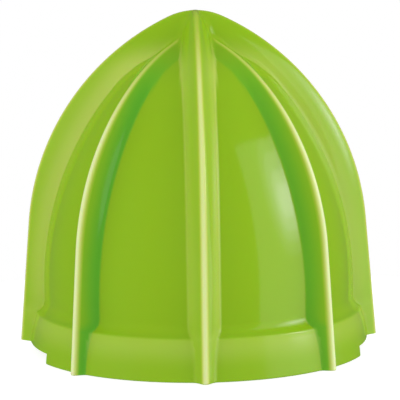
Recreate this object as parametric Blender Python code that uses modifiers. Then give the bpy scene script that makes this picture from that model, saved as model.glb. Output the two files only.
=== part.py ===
"""Pressing cone set of an electric citrus juicer: a large cone that drops over a small one.

Metres, +Z up. The origin is the centre of the rim's plane, and both cones stand on z = 0.
"""

import math

import bmesh
import bpy
from mathutils import Matrix

# Fits
FIT_CLEARANCE = 0.0003
WELD_DISTANCE = 0.000001
CUT_MARGIN = 0.003
TIP_CORE = 0.0003

# Large cone, outside
CONE_HEIGHT = 0.080
CREST_FOOT_RADIUS = 0.0423
CREST_DRAFT = math.radians(4.74)
MAIN_ARC_START = 0.0306
MAIN_TIP_RADIUS = 0.0148
MINOR_ARC_START = 0.0283
MINOR_TIP_RADIUS = 0.0078
MINOR_TIP_DROP = 0.005
RIB_CREST_WIDTH = 0.0016
MAIN_ROOT_WIDTH = 0.0079
MINOR_ROOT_WIDTH = 0.0062
RIB_FLANK_DEPTH = 0.0056
RIB_EMBED = 0.0012
RIB_HEIGHT = 0.0059
PANEL_ARC_START = 0.016
PANEL_TIP_DROP = 0.0078
PANEL_TIP_RADIUS = 0.025

# Skirt of the large cone
SKIRT_HEIGHT = 0.0098
SKIRT_STEP = 0.0020
SKIRT_FLARE = 0.0016
SHOULDER_ROUND = 0.0008
SHOULDER_FILLET = 0.0040
NOTCH_HEIGHT = 0.0029
NOTCH_WIDTH = 0.0287

# Inside of the large cone
WALL = 0.0020
GROOVE_CREST_WIDTH = 0.0006
GUIDE_WEB_THICKNESS = 0.0020

# Small cone
CONE_GAP = 0.0060
SMALL_HEADROOM = 0.0260
SMALL_RIB_HEIGHT = 0.0036
SMALL_CREST_WIDTH = 0.0012
SMALL_ROOT_WIDTH = 0.0048
SMALL_RIB_EMBED = 0.0010
SMALL_ARC_START = 0.0180
SMALL_TIP_RADIUS = 0.0085
SMALL_MINOR_DROP = 0.0022
SMALL_PANEL_DROP = 0.0038
SMALL_PANEL_TIP_RADIUS = 0.0120
SMALL_SKIRT_HEIGHT = 0.0070
SMALL_SKIRT_STEP = 0.0014
SMALL_SKIRT_FLARE = 0.0008
SMALL_SHOULDER_ROUND = 0.0006
SMALL_WALL = 0.0018
SMALL_WEB_THICKNESS = 0.0016
HUB_WALL = 0.0019
HUB_RECESS = 0.0033
SPINDLE_BORE_DIAMETER = 0.0084
SPINDLE_BORE_DEPTH = 0.0360

# Drive bush
BUSH_ACROSS_FLATS = 0.0120
BUSH_LENGTH = 0.0200
BUSH_FLANGE_DIAMETER = 0.0164
BUSH_FLANGE_THICKNESS = 0.0015
SOCKET_ACROSS_FLATS = 0.0080

# Counts
RIB_PAIRS = 4
BODY_STEPS = 48
CAVITY_STEPS = 32
ARC_STEPS = 12
TIP_STEPS = 4
ROUND_STEPS = 3
HEX_SIDES = 6
ROUND_SIDES = 36

# Finishes
LIME = (0.235, 0.455, 0.016, 1.0)
PALE_GREY = (0.62, 0.63, 0.62, 1.0)
POLISHED_ROUGHNESS = 0.18
SATIN_ROUGHNESS = 0.35


def clear_scene():
    """Remove whatever the file opened with."""
    for thing in list(bpy.data.objects):
        bpy.data.objects.remove(thing, do_unlink=True)


def new_collection(name):
    """Add a collection to the scene."""
    group = bpy.data.collections.new(name)
    bpy.context.scene.collection.children.link(group)
    return group


def new_material(name, colour, roughness):
    """A plain moulded plastic."""
    material = bpy.data.materials.new(name)
    material.use_nodes = True
    shader = material.node_tree.nodes["Principled BSDF"]
    shader.inputs["Base Color"].default_value = colour
    shader.inputs["Roughness"].default_value = roughness
    shader.inputs["Metallic"].default_value = 0.0
    return material


class Ogive:
    """Half outline of a cone: a drafted line, an arc that leans in and a tip arc, tangent to each other."""

    def __init__(self, foot_radius, draft, arc_start, top, tip_radius):
        self.foot_radius = foot_radius
        self.draft = draft
        self.arc_start = arc_start
        self.top = top
        self.tip_radius = tip_radius
        start_radius = foot_radius - arc_start * math.tan(draft)
        rise = top - tip_radius - arc_start
        over = start_radius**2 + rise**2 - tip_radius**2
        under = start_radius * math.cos(draft) - rise * math.sin(draft) - tip_radius
        self.arc_radius = over / (2 * under)
        self.arc_x = start_radius - self.arc_radius * math.cos(draft)
        self.arc_z = arc_start - self.arc_radius * math.sin(draft)
        self.tip_z = top - tip_radius
        self.turn = math.atan2(self.tip_z - self.arc_z, -self.arc_x)

    def line_radius(self, height, inset=0.0):
        """Radius of the drafted line at a height."""
        return self.foot_radius - height * math.tan(self.draft) - inset / math.cos(self.draft)

    def radius_at(self, height, inset=0.0):
        """Radius of the outline at a height."""
        tangent_height = self.arc_z + (self.arc_radius - inset) * math.sin(self.turn)
        if height <= self.arc_start:
            return self.line_radius(height, inset)
        if height <= tangent_height:
            return self.arc_x + math.sqrt((self.arc_radius - inset)**2 - (height - self.arc_z)**2)
        return math.sqrt(max((self.tip_radius - inset)**2 - (height - self.tip_z)**2, 0.0))

    def height_at(self, radius, inset=0.0):
        """Height on the arcs at which the outline has a radius."""
        tangent_radius = self.arc_x + (self.arc_radius - inset) * math.cos(self.turn)
        if radius >= tangent_radius:
            return self.arc_z + math.sqrt((self.arc_radius - inset)**2 - (radius - self.arc_x)**2)
        return self.tip_z + math.sqrt((self.tip_radius - inset)**2 - radius**2)

    def points(self, bottom, inset=0.0):
        """Points (radius, height) from the bottom up to the tip, all moved in by inset."""
        found = [(self.line_radius(bottom, inset), bottom)]
        for step in range(ARC_STEPS):
            angle = self.draft + (self.turn - self.draft) * step / ARC_STEPS
            reach = self.arc_radius - inset
            found.append((self.arc_x + reach * math.cos(angle), self.arc_z + reach * math.sin(angle)))
        for step in range(TIP_STEPS):
            angle = self.turn + (math.pi / 2 - self.turn) * step / TIP_STEPS
            reach = self.tip_radius - inset
            found.append((reach * math.cos(angle), self.tip_z + reach * math.sin(angle)))
        found.append((0.0, self.tip_z + self.tip_radius - inset))
        return found


def quarter_round(centre, radius, start, end):
    """Points on an arc about a centre, from one angle to another."""
    found = []
    for step in range(ROUND_STEPS + 1):
        angle = math.radians(start + (end - start) * step / ROUND_STEPS)
        found.append((centre[0] + radius * math.cos(angle), centre[1] + radius * math.sin(angle)))
    return found


def body_outline(panel, skirt_height, step, flare, edge_round, fillet):
    """Outline of the plain body under the ribs, from the tip down to below the rim."""
    wall_radius = panel.line_radius(skirt_height)
    shoulder_radius = wall_radius + step
    found = list(reversed(panel.points(skirt_height + fillet)))
    foot = found.pop()
    fillet_centre = (foot[0] + fillet, skirt_height + fillet)
    reach = min(fillet, step - edge_round)
    sweep = math.degrees(math.acos(1 - reach / fillet))
    drop = fillet * (1 - math.sin(math.radians(sweep)))
    for point in quarter_round(fillet_centre, fillet, 180, 180 + sweep):
        found.append((point[0], point[1] - drop))
    found += quarter_round((shoulder_radius - edge_round, skirt_height - edge_round), edge_round, 90, 0)
    slope = flare / (skirt_height - edge_round)
    found.append((shoulder_radius + flare + slope * CUT_MARGIN, -CUT_MARGIN))
    return found


def turned(name, outline, steps, group):
    """Turn an outline about Z into a closed solid. The outline runs from the top down its outer side."""
    points = [(radius, 0.0, height) for radius, height in outline]
    points.append((0.0, 0.0, outline[-1][1]))
    edges = [(index, index + 1) for index in range(len(points) - 1)]
    mesh = bpy.data.meshes.new(name)
    mesh.from_pydata(points, edges, [])
    thing = bpy.data.objects.new(name, mesh)
    group.objects.link(thing)
    screw = thing.modifiers.new("turn", "SCREW")
    screw.axis = "Z"
    screw.steps = steps
    screw.render_steps = steps
    screw.use_merge_vertices = True
    screw.merge_threshold = WELD_DISTANCE
    return thing


def closed_curve(name, outline):
    """A flat closed curve from points."""
    curve = bpy.data.curves.new(name, "CURVE")
    curve.dimensions = "2D"
    spline = curve.splines.new("POLY")
    spline.points.add(len(outline) - 1)
    for point, place in zip(spline.points, outline):
        point.co = (place[0], place[1], 0.0, 1.0)
    spline.use_cyclic_u = True
    return bpy.data.objects.new(name, curve)


def rib_section(crest_width, root_width, flank_depth, total_depth):
    """Cross-section of a rib: a narrow crest, sloping flanks and parallel sides below them."""
    half_crest = crest_width / 2
    half_root = root_width / 2
    right = [(0.0, half_crest), (-flank_depth, half_root), (-total_depth, half_root)]
    if total_depth <= flank_depth:
        share = total_depth / flank_depth
        right = [(0.0, half_crest), (-total_depth, half_crest + share * (half_root - half_crest))]
    left = [(depth, -half) for depth, half in reversed(right)]
    return right + left


def swept_rib(name, crest, section, azimuth, group):
    """Sweep a rib's section up one side of the cone, over the tip and down the other side."""
    path = crest + [(-radius, height) for radius, height in reversed(crest[:-1])]
    curve = bpy.data.curves.new(name, "CURVE")
    curve.dimensions = "2D"
    spline = curve.splines.new("POLY")
    spline.points.add(len(path) - 1)
    for point, place in zip(spline.points, path):
        point.co = (place[0], place[1], 0.0, 1.0)
    profile = closed_curve(name + "_section", section)
    group.objects.link(profile)
    curve.bevel_mode = "OBJECT"
    curve.bevel_object = profile
    curve.use_fill_caps = True
    thing = bpy.data.objects.new(name, curve)
    group.objects.link(thing)
    thing.matrix_world = Matrix.Rotation(azimuth, 4, "Z") @ Matrix.Rotation(math.pi / 2, 4, "X")
    solid = as_mesh(thing, group)
    bpy.data.objects.remove(profile, do_unlink=True)
    return solid


def as_mesh(thing, group):
    """Make a curve object a welded mesh with its faces outwards, and remove the curve."""
    bpy.context.view_layer.update()
    graph = bpy.context.evaluated_depsgraph_get()
    mesh = bpy.data.meshes.new_from_object(thing.evaluated_get(graph))
    work = bmesh.new()
    work.from_mesh(mesh)
    bmesh.ops.remove_doubles(work, verts=work.verts, dist=WELD_DISTANCE)
    bmesh.ops.recalc_face_normals(work, faces=work.faces)
    work.to_mesh(mesh)
    work.free()
    name = thing.name
    place = thing.matrix_world.copy()
    bpy.data.objects.remove(thing, do_unlink=True)
    solid = bpy.data.objects.new(name, mesh)
    solid.matrix_world = place
    group.objects.link(solid)
    return solid


def block(name, size, centre, azimuth, group):
    """A rectangular block turned about Z."""
    mesh = bpy.data.meshes.new(name)
    work = bmesh.new()
    bmesh.ops.create_cube(work, size=1.0)
    bmesh.ops.scale(work, vec=size, verts=work.verts)
    bmesh.ops.translate(work, vec=centre, verts=work.verts)
    bmesh.ops.rotate(work, matrix=Matrix.Rotation(azimuth, 3, "Z"), verts=work.verts)
    work.to_mesh(mesh)
    work.free()
    thing = bpy.data.objects.new(name, mesh)
    group.objects.link(thing)
    return thing


def bar(name, radius, sides, bottom, top, group):
    """An upright round or many-sided bar. Its first corner is on +X."""
    mesh = bpy.data.meshes.new(name)
    work = bmesh.new()
    bmesh.ops.create_cone(
        work, cap_ends=True, segments=sides, radius1=radius, radius2=radius, depth=top - bottom
    )
    bmesh.ops.translate(work, vec=(0.0, 0.0, (top + bottom) / 2), verts=work.verts)
    work.to_mesh(mesh)
    work.free()
    thing = bpy.data.objects.new(name, mesh)
    group.objects.link(thing)
    return thing


def combine(thing, operation, others, solver="EXACT"):
    """Add one Boolean for each of the other solids.

    Ribs that cross at a tip share a plane there, where EXACT drops faces, so the cones take MANIFOLD.
    """
    for other in others:
        step = thing.modifiers.new(operation.lower(), "BOOLEAN")
        step.operation = operation
        step.solver = solver
        step.object = other


def corner_radius(across_flats):
    """Radius to the corners of a hexagon."""
    return across_flats / math.sqrt(3)


def panel_ogive():
    """The panels between the large cone's ribs."""
    foot = CREST_FOOT_RADIUS - RIB_HEIGHT
    return Ogive(foot, 0.0, PANEL_ARC_START, CONE_HEIGHT - PANEL_TIP_DROP, PANEL_TIP_RADIUS)


def main_crest():
    """The crest of the four main ribs."""
    return Ogive(CREST_FOOT_RADIUS, CREST_DRAFT, MAIN_ARC_START, CONE_HEIGHT, MAIN_TIP_RADIUS)


def minor_crest():
    """The crest of the four ribs between them, which dies out just below the tip."""
    top = CONE_HEIGHT - MINOR_TIP_DROP
    return Ogive(CREST_FOOT_RADIUS, CREST_DRAFT, MINOR_ARC_START, top, MINOR_TIP_RADIUS)


def small_foot_radius():
    """The small cone's crests stay a gap inside the large cone's wall."""
    return CREST_FOOT_RADIUS - RIB_HEIGHT - WALL - CONE_GAP


def small_top():
    """The small cone's tip stays a headroom below the large cone's."""
    return CONE_HEIGHT - SMALL_HEADROOM


def small_panel():
    """The valleys between the small cone's ribs."""
    foot = small_foot_radius() - SMALL_RIB_HEIGHT
    top = small_top() - SMALL_PANEL_DROP
    return Ogive(foot, 0.0, SMALL_ARC_START, top, SMALL_PANEL_TIP_RADIUS)


def small_crest(drop):
    """A crest of the small cone, its tip lowered by drop."""
    top = small_top() - drop
    return Ogive(small_foot_radius(), CREST_DRAFT, SMALL_ARC_START, top, SMALL_TIP_RADIUS)


def rib_depths(crests, panel, height, embed):
    """How deep each kind of rib goes: into the body at the rim, and into its top under the rib's tip."""
    return [max(height, crest.top - panel.top) + embed for crest in crests]


def crossed_ribs(prefix, crests, widths, flank_depth, depths, inset, group):
    """Four sweeps, each making two opposite ribs: main and minor ones in turn.

    A section never reaches past the centre of the tip arc that it is swept round.
    """
    made = []
    crest_width, root_widths = widths
    for pair in range(RIB_PAIRS):
        crest = crests[pair % 2]
        room = crest.tip_radius - inset - TIP_CORE
        depth = min(depths[pair % 2], room)
        section = rib_section(crest_width, root_widths[pair % 2], flank_depth, depth)
        azimuth = pair * math.pi / RIB_PAIRS
        path = crest.points(-CUT_MARGIN, inset)
        made.append(swept_rib(f"{prefix}_{pair}", path, section, azimuth, group))
    return made


def crossed_webs(prefix, thickness, reach, bottom, top, group):
    """Two upright plates that cross on the axis."""
    size = (2 * reach, thickness, top - bottom)
    centre = (0.0, 0.0, (top + bottom) / 2)
    return [block(f"{prefix}_{turn}", size, centre, turn * math.pi / 2, group) for turn in range(2)]


def floor_cut(name, group):
    """Everything below the rim's plane."""
    reach = CREST_FOOT_RADIUS + 2 * CUT_MARGIN
    depth = 3 * CUT_MARGIN
    return block(name, (2 * reach, 2 * reach, depth), (0.0, 0.0, -depth / 2), 0.0, group)


def notch_cuts(group):
    """The two shallow notches in the rim, round the side ribs."""
    depth = 4 * RIB_HEIGHT
    height = NOTCH_HEIGHT + CUT_MARGIN
    centre = (CREST_FOOT_RADIUS, 0.0, NOTCH_HEIGHT - height / 2)
    size = (depth, NOTCH_WIDTH, height)
    return [block(f"notch_{side}", size, centre, side * math.pi, group) for side in range(2)]


def large_outline():
    """The large cone's plain body, with its skirt."""
    shoulder = (SKIRT_HEIGHT, SKIRT_STEP, SKIRT_FLARE, SHOULDER_ROUND, SHOULDER_FILLET)
    return body_outline(panel_ogive(), *shoulder)


def hollow_outline(panel, wall, skirt_height, step, flare):
    """Outline of a cone's hollow, a wall inside its body, from the top down to below the rim."""
    inside = list(reversed(panel.points(skirt_height, wall)))
    skirt_radius = panel.line_radius(skirt_height) + step - wall
    slope = flare / skirt_height
    inside.append((skirt_radius, skirt_height - wall))
    inside.append((skirt_radius + flare + slope * CUT_MARGIN, -CUT_MARGIN))
    return inside


def large_cavity(group):
    """The hollow of the large cone, with its guide webs already taken out of it."""
    inside = hollow_outline(panel_ogive(), WALL, SKIRT_HEIGHT, SKIRT_STEP, SKIRT_FLARE)
    hollow = turned("large_hollow", inside, CAVITY_STEPS, group)
    thinner = RIB_CREST_WIDTH - GROOVE_CREST_WIDTH
    widths = (GROOVE_CREST_WIDTH, [MAIN_ROOT_WIDTH - thinner, MINOR_ROOT_WIDTH - thinner])
    crests = [main_crest(), minor_crest()]
    depths = rib_depths(crests, panel_ogive(), RIB_HEIGHT, RIB_EMBED)
    grooves = crossed_ribs("groove", crests, widths, RIB_FLANK_DEPTH, depths, WALL, group)
    bottom = SMALL_SKIRT_HEIGHT + FIT_CLEARANCE
    plates = (GUIDE_WEB_THICKNESS, CREST_FOOT_RADIUS, bottom, CONE_HEIGHT)
    webs = crossed_webs("guide_web", *plates, group)
    combine(hollow, "UNION", grooves, "MANIFOLD")
    combine(hollow, "DIFFERENCE", webs, "MANIFOLD")
    return hollow


def web_relief(group):
    """Room for the small cone between the guide webs of the large one.

    The webs follow the valleys until these get too narrow for them, and pass round the ribs above that.
    """
    panel = small_panel()
    crest = small_crest(0.0)
    half_slot = SMALL_ROOT_WIDTH / 2 + GUIDE_WEB_THICKNESS / 2 + FIT_CLEARANCE
    ledge = panel.height_at(half_slot / math.sin(half_pitch()))
    above = [point for point in crest.points(0.0, -FIT_CLEARANCE) if point[1] > ledge]
    below = [point for point in panel.points(-CUT_MARGIN, -FIT_CLEARANCE) if point[1] < ledge]
    outline = below + [(panel.radius_at(ledge, -FIT_CLEARANCE), ledge)]
    outline += [(crest.radius_at(ledge, -FIT_CLEARANCE), ledge)] + above
    outline.reverse()
    return turned("web_relief", outline, CAVITY_STEPS, group)


def build_large_cone(parts, cutters, material):
    """The photographed cone."""
    cone = turned("large_cone", large_outline(), BODY_STEPS, parts)
    crests = [main_crest(), minor_crest()]
    widths = (RIB_CREST_WIDTH, [MAIN_ROOT_WIDTH, MINOR_ROOT_WIDTH])
    depths = rib_depths(crests, panel_ogive(), RIB_HEIGHT, RIB_EMBED)
    ribs = crossed_ribs("large_rib", crests, widths, RIB_FLANK_DEPTH, depths, 0.0, cutters)
    combine(cone, "UNION", ribs, "MANIFOLD")
    hollows = [large_cavity(cutters), web_relief(cutters)]
    hollows += notch_cuts(cutters)
    hollows.append(floor_cut("large_floor", cutters))
    combine(cone, "DIFFERENCE", hollows, "MANIFOLD")
    finish(cone, material)
    return cone


def hub_radius():
    """The hub leaves its own wall round the bush's pocket."""
    return corner_radius(BUSH_ACROSS_FLATS + 2 * FIT_CLEARANCE) + HUB_WALL


def small_cavity(group):
    """The hollow of the small cone, with its hub and webs already taken out of it."""
    skirt = (SMALL_SKIRT_HEIGHT, SMALL_SKIRT_STEP, SMALL_SKIRT_FLARE)
    inside = hollow_outline(small_panel(), SMALL_WALL, *skirt)
    hollow = turned("small_hollow", inside, CAVITY_STEPS, group)
    hub = bar("hub", hub_radius(), ROUND_SIDES, HUB_RECESS, small_top(), group)
    plates = (SMALL_WEB_THICKNESS, small_foot_radius(), HUB_RECESS, small_top())
    webs = crossed_webs("hub_web", *plates, group)
    combine(hollow, "DIFFERENCE", [hub] + webs, "MANIFOLD")
    return hollow


def bush_pocket(group):
    """The hexagonal pocket for the bush, and the bore above it for the spindle's end."""
    flats = BUSH_ACROSS_FLATS + 2 * FIT_CLEARANCE
    top = HUB_RECESS + BUSH_LENGTH + FIT_CLEARANCE
    pocket = bar("bush_pocket", corner_radius(flats), HEX_SIDES, -CUT_MARGIN, top, group)
    bore = bar("spindle_bore", SPINDLE_BORE_DIAMETER / 2, ROUND_SIDES, 0.0, SPINDLE_BORE_DEPTH, group)
    return [pocket, bore]


def build_small_cone(parts, cutters, material):
    """The inner cone for small fruit, which carries the large one. Its valleys take the guide webs."""
    shoulder = (SMALL_SKIRT_HEIGHT, SMALL_SKIRT_STEP, SMALL_SKIRT_FLARE)
    rounds = (SMALL_SHOULDER_ROUND, SMALL_SHOULDER_ROUND)
    outline = body_outline(small_panel(), *shoulder, *rounds)
    cone = turned("small_cone", outline, CAVITY_STEPS, parts)
    crests = [small_crest(0.0), small_crest(SMALL_MINOR_DROP)]
    widths = (SMALL_CREST_WIDTH, [SMALL_ROOT_WIDTH, SMALL_ROOT_WIDTH])
    depths = rib_depths(crests, small_panel(), SMALL_RIB_HEIGHT, SMALL_RIB_EMBED)
    ribs = crossed_ribs("small_rib", crests, widths, SMALL_RIB_HEIGHT, depths, 0.0, cutters)
    combine(cone, "UNION", ribs, "MANIFOLD")
    hollows = [small_cavity(cutters)] + bush_pocket(cutters)
    hollows.append(floor_cut("small_floor", cutters))
    combine(cone, "DIFFERENCE", hollows, "MANIFOLD")
    finish(cone, material)
    turn_with_cutters(cone, half_pitch())
    return cone


def build_drive_bush(parts, cutters, material):
    """The hexagonal insert with the spindle's socket, flanged at its lower end."""
    flange_top = HUB_RECESS - FIT_CLEARANCE
    flange_bottom = flange_top - BUSH_FLANGE_THICKNESS
    top = HUB_RECESS + BUSH_LENGTH
    bush = bar("drive_bush", corner_radius(BUSH_ACROSS_FLATS), HEX_SIDES, flange_bottom, top, parts)
    flange = bar(
        "bush_flange", BUSH_FLANGE_DIAMETER / 2, ROUND_SIDES, flange_bottom, flange_top, cutters
    )
    socket = bar(
        "socket",
        corner_radius(SOCKET_ACROSS_FLATS),
        HEX_SIDES,
        flange_bottom - CUT_MARGIN,
        top + CUT_MARGIN,
        cutters,
    )
    combine(bush, "UNION", [flange])
    combine(bush, "DIFFERENCE", [socket])
    finish(bush, material)
    turn_with_cutters(bush, half_pitch())
    return bush


def half_pitch():
    """The small cone is turned half a rib pitch, so that its valleys face the large cone's guide webs."""
    return math.pi / RIB_PAIRS / 2


def turn_with_cutters(thing, angle):
    """Turn a part about Z together with the solids that shape it."""
    turn = Matrix.Rotation(angle, 4, "Z")
    shapers = [thing]
    for shaper in shapers:
        operands = [step.object for step in shaper.modifiers if step.type == "BOOLEAN"]
        shapers += [operand for operand in operands if operand not in shapers]
    for shaper in shapers:
        shaper.matrix_world = turn @ shaper.matrix_world


def finish(thing, material):
    """Give a part its material and shade its round faces smooth."""
    thing.data.materials.append(material)
    thing.data.shade_smooth()
    for step in thing.modifiers:
        if step.type == "SCREW":
            step.use_smooth_shade = True


def hide_cutters(group):
    """Cutters and guides aren't parts."""
    for thing in group.objects:
        thing.hide_render = True
        thing.display_type = "WIRE"


def main():
    """Build the three mouldings."""
    clear_scene()
    parts = new_collection("citrus_cone_set")
    cutters = new_collection("cutters")
    lime = new_material("lime_plastic", LIME, POLISHED_ROUGHNESS)
    grey = new_material("pale_grey_plastic", PALE_GREY, SATIN_ROUGHNESS)
    build_large_cone(parts, cutters, lime)
    build_small_cone(parts, cutters, lime)
    build_drive_bush(parts, cutters, grey)
    hide_cutters(cutters)


main()
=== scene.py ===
"""Looks of a citrus juicer's pressing cone set: two ribbed cones that nest, and the bush that drives them.

The large cone is the photographed piece. Every size is in metres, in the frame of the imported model.
"""

import logging
import math
from dataclasses import dataclass
from enum import Enum

import bpy
import numpy as np
from mathutils import Matrix, Vector


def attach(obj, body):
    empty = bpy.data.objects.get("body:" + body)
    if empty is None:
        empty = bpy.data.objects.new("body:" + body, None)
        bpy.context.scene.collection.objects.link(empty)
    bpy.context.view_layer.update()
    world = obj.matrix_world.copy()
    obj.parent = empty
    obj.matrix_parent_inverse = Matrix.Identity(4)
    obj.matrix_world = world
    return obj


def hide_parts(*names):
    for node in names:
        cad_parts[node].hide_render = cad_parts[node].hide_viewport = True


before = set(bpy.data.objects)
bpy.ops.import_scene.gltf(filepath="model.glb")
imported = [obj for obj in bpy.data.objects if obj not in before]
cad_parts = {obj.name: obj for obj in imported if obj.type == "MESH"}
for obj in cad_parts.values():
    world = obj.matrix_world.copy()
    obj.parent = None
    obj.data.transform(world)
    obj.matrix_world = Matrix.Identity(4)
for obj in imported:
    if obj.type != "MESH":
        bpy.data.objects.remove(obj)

Numbers = np.ndarray
Pair = tuple[Numbers, Numbers]
Triple = tuple[float, float, float]
Outline = list[tuple[float, float]]
Piece = bpy.types.Object

log = logging.getLogger("cone_set")
QUARTER_TURN = math.pi / 2
EIGHTH_TURN = math.pi / 4
HALF_PITCH = math.pi / 8
WHITE = (1.0, 1.0, 1.0, 1.0)
WELD = 1e-6
NEAR_AXIS = 1e-6
SLOPE_STEP = 1e-5
ROOT_STATIONS = 80
FIT_STATIONS = 90
WALL_STATIONS = 60
HALVINGS_TO_ROOT = 40
HALVINGS_TO_SKIN = 26
OVERSHOOT = 0.01
ROUND_SIDES = 72
CREASE = 40.0


class Way(Enum):
    """How one solid is joined to another."""

    ADD = "UNION"
    CUT = "DIFFERENCE"


class Body(Enum):
    """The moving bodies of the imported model."""

    OUTER = "outer_cone"
    INNER = "inner_cone"


# Outlines and sections


@dataclass(frozen=True)
class Ogive:
    """Half outline of a cone: a drafted line, an arc that leans in and a tip arc, tangent to each other."""

    foot_radius: float
    draft: float
    arc_start: float
    top: float
    tip_radius: float

    @property
    def start_radius(self) -> float:
        """Radius where the line turns into the arc."""
        return self.foot_radius - self.arc_start * math.tan(self.draft)

    @property
    def tip_z(self) -> float:
        """Height of the tip arc's centre."""
        return self.top - self.tip_radius

    @property
    def arc_radius(self) -> float:
        """Radius of the long arc, from its tangents to the line and to the tip arc.

        Returns:
            The radius.
        """
        rise = self.tip_z - self.arc_start
        over = self.start_radius**2 + rise**2 - self.tip_radius**2
        under = self.start_radius * math.cos(self.draft) - rise * math.sin(self.draft) - self.tip_radius
        return over / (2 * under)

    @property
    def arc_centre(self) -> tuple[float, float]:
        """Radius and height of the long arc's centre."""
        x = self.start_radius - self.arc_radius * math.cos(self.draft)
        return x, self.arc_start - self.arc_radius * math.sin(self.draft)

    @property
    def turn(self) -> float:
        """Angle at which the long arc hands over to the tip arc."""
        x, z = self.arc_centre
        return math.atan2(self.tip_z - z, -x)

    def line_radius(self, height: Numbers) -> Numbers:
        """Radius of the drafted line at a height."""
        return self.foot_radius - height * math.tan(self.draft)

    def locate(self, radius: Numbers, height: Numbers) -> Pair:
        """Find how deep inside the outline points lie, and how far up it.

        Args:
            radius: Distances from the axis.
            height: Heights.

        Returns:
            Depths along the outline's normal, negative outside, and heights of its nearest points.
        """
        x, z = self.arc_centre
        angle = np.arctan2(height - z, radius - x)
        line = (self.line_radius(height) - radius) * math.cos(self.draft)
        arc = self.arc_radius - np.hypot(radius - x, height - z)
        tip = self.tip_radius - np.hypot(radius, height - self.tip_z)
        depth = np.where(angle < self.draft, line, np.where(angle < self.turn, arc, tip))
        arc = z + self.arc_radius * np.sin(angle)
        tip = self.tip_z + self.tip_radius * np.sin(np.arctan2(height - self.tip_z, radius))
        return depth, np.where(angle < self.draft, height, np.where(angle < self.turn, arc, tip))

    def at_heights(self, heights: Numbers) -> Pair:
        """Follow the outline at heights.

        Args:
            heights: Heights from the foot to the tip.

        Returns:
            Its radii, and the angles of its normals above the level.
        """
        x, z = self.arc_centre
        angle = np.arcsin(np.clip((heights - z) / self.arc_radius, -1, 1))
        tip_angle = np.arcsin(np.clip((heights - self.tip_z) / self.tip_radius, -1, 1))
        handover = z + self.arc_radius * math.sin(self.turn)
        below = [heights < self.arc_start, heights < handover]
        reach = [self.line_radius(heights), x + self.arc_radius * np.cos(angle)]
        radius = np.select(below, reach, self.tip_radius * np.cos(tip_angle))
        return radius, np.select(below, [self.draft, angle], tip_angle)

    def stations(self, count: int, inset: float = 0.0) -> Numbers:
        """Points along the outline at even lengths.

        Args:
            count: How many steps to take.
            inset: How far inside the outline the points lie.

        Returns:
            An array of (radius, height) rows from the foot to the tip.
        """
        x, z = self.arc_centre
        long_reach = self.arc_radius - inset
        tip_reach = self.tip_radius - inset
        foot = (self.foot_radius - inset / math.cos(self.draft), 0.0)
        arc_foot = (x + long_reach * math.cos(self.draft), z + long_reach * math.sin(self.draft))
        lengths = [
            math.dist(foot, arc_foot),
            long_reach * (self.turn - self.draft),
            tip_reach * (QUARTER_TURN - self.turn),
        ]
        ends = np.cumsum([0.0] + lengths)
        travel = np.linspace(0.0, ends[-1], count + 1)
        share = travel / lengths[0]
        angle = self.draft + (travel - ends[1]) / long_reach
        tip_angle = self.turn + (travel - ends[2]) / tip_reach
        parts = [travel < ends[1], travel < ends[2]]
        radius = np.select(
            parts,
            [foot[0] + (arc_foot[0] - foot[0]) * share, x + long_reach * np.cos(angle)],
            tip_reach * np.cos(tip_angle),
        )
        height = np.select(
            parts,
            [arc_foot[1] * share, z + long_reach * np.sin(angle)],
            self.tip_z + tip_reach * np.sin(tip_angle),
        )
        return np.stack([radius, height], axis=1)


@dataclass(frozen=True)
class Skirt:
    """The low band round a cone's foot: a flared wall under an S-shaped shoulder."""

    height: float
    step: float
    flare: float
    bulge: float
    shoulder_round: float
    shoulder_fillet: float

    @property
    def sweep(self) -> float:
        """Angle that each of the shoulder's two arcs turns through."""
        return math.acos(1 - self.step / (self.shoulder_round + self.shoulder_fillet))

    @property
    def top(self) -> float:
        """Height at which the shoulder has run out into the wall above."""
        return self.height + (self.shoulder_round + self.shoulder_fillet) * math.sin(self.sweep)

    def stand_off(self, height: Numbers) -> Numbers:
        """How far the skirt stands out from the wall above it.

        Args:
            height: Heights above the rim.

        Returns:
            The distances, 0 above the shoulder.
        """
        round_end = self.height + self.shoulder_round * math.sin(self.sweep)
        rise = np.clip(height - self.height, 0.0, self.shoulder_round)
        convex = self.step - self.shoulder_round + np.sqrt(self.shoulder_round**2 - rise**2)
        fall = np.clip(self.top - height, 0.0, self.shoulder_fillet)
        concave = self.shoulder_fillet - np.sqrt(self.shoulder_fillet**2 - fall**2)
        share = np.clip(1 - height / self.height, 0.0, 1.0)
        band = self.step + self.flare * share + 4 * self.bulge * share * (1 - share)
        choices = [height < self.height, height < round_end, height < self.top]
        return np.select(choices, [band, convex, concave], 0.0)


def round_union(first: Numbers, second: Numbers, radius: Numbers) -> Numbers:
    """Join two solids, given as signed distances, with a round fillet between them."""
    overlap = np.hypot(np.maximum(radius - first, 0.0), np.maximum(radius - second, 0.0))
    return np.maximum(radius, np.minimum(first, second)) - overlap


def round_cut(first: Numbers, second: Numbers, radius: float) -> Numbers:
    """Keep what two solids share, given as signed distances, with a round edge between them."""
    excess = np.hypot(np.maximum(radius + first, 0.0), np.maximum(radius + second, 0.0))
    return np.minimum(-radius, np.maximum(first, second)) + excess


def smooth_step(value: Numbers, low: float, high: float) -> Numbers:
    """0 below low, 1 above high, and an even S-curve between."""
    share = np.clip((value - low) / (high - low), 0.0, 1.0)
    return share * share * (3 - 2 * share)


def fold(azimuth: Numbers) -> Numbers:
    """Angles from the nearest main rib's plane."""
    return np.abs((azimuth + EIGHTH_TURN) % QUARTER_TURN - EIGHTH_TURN)


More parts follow.
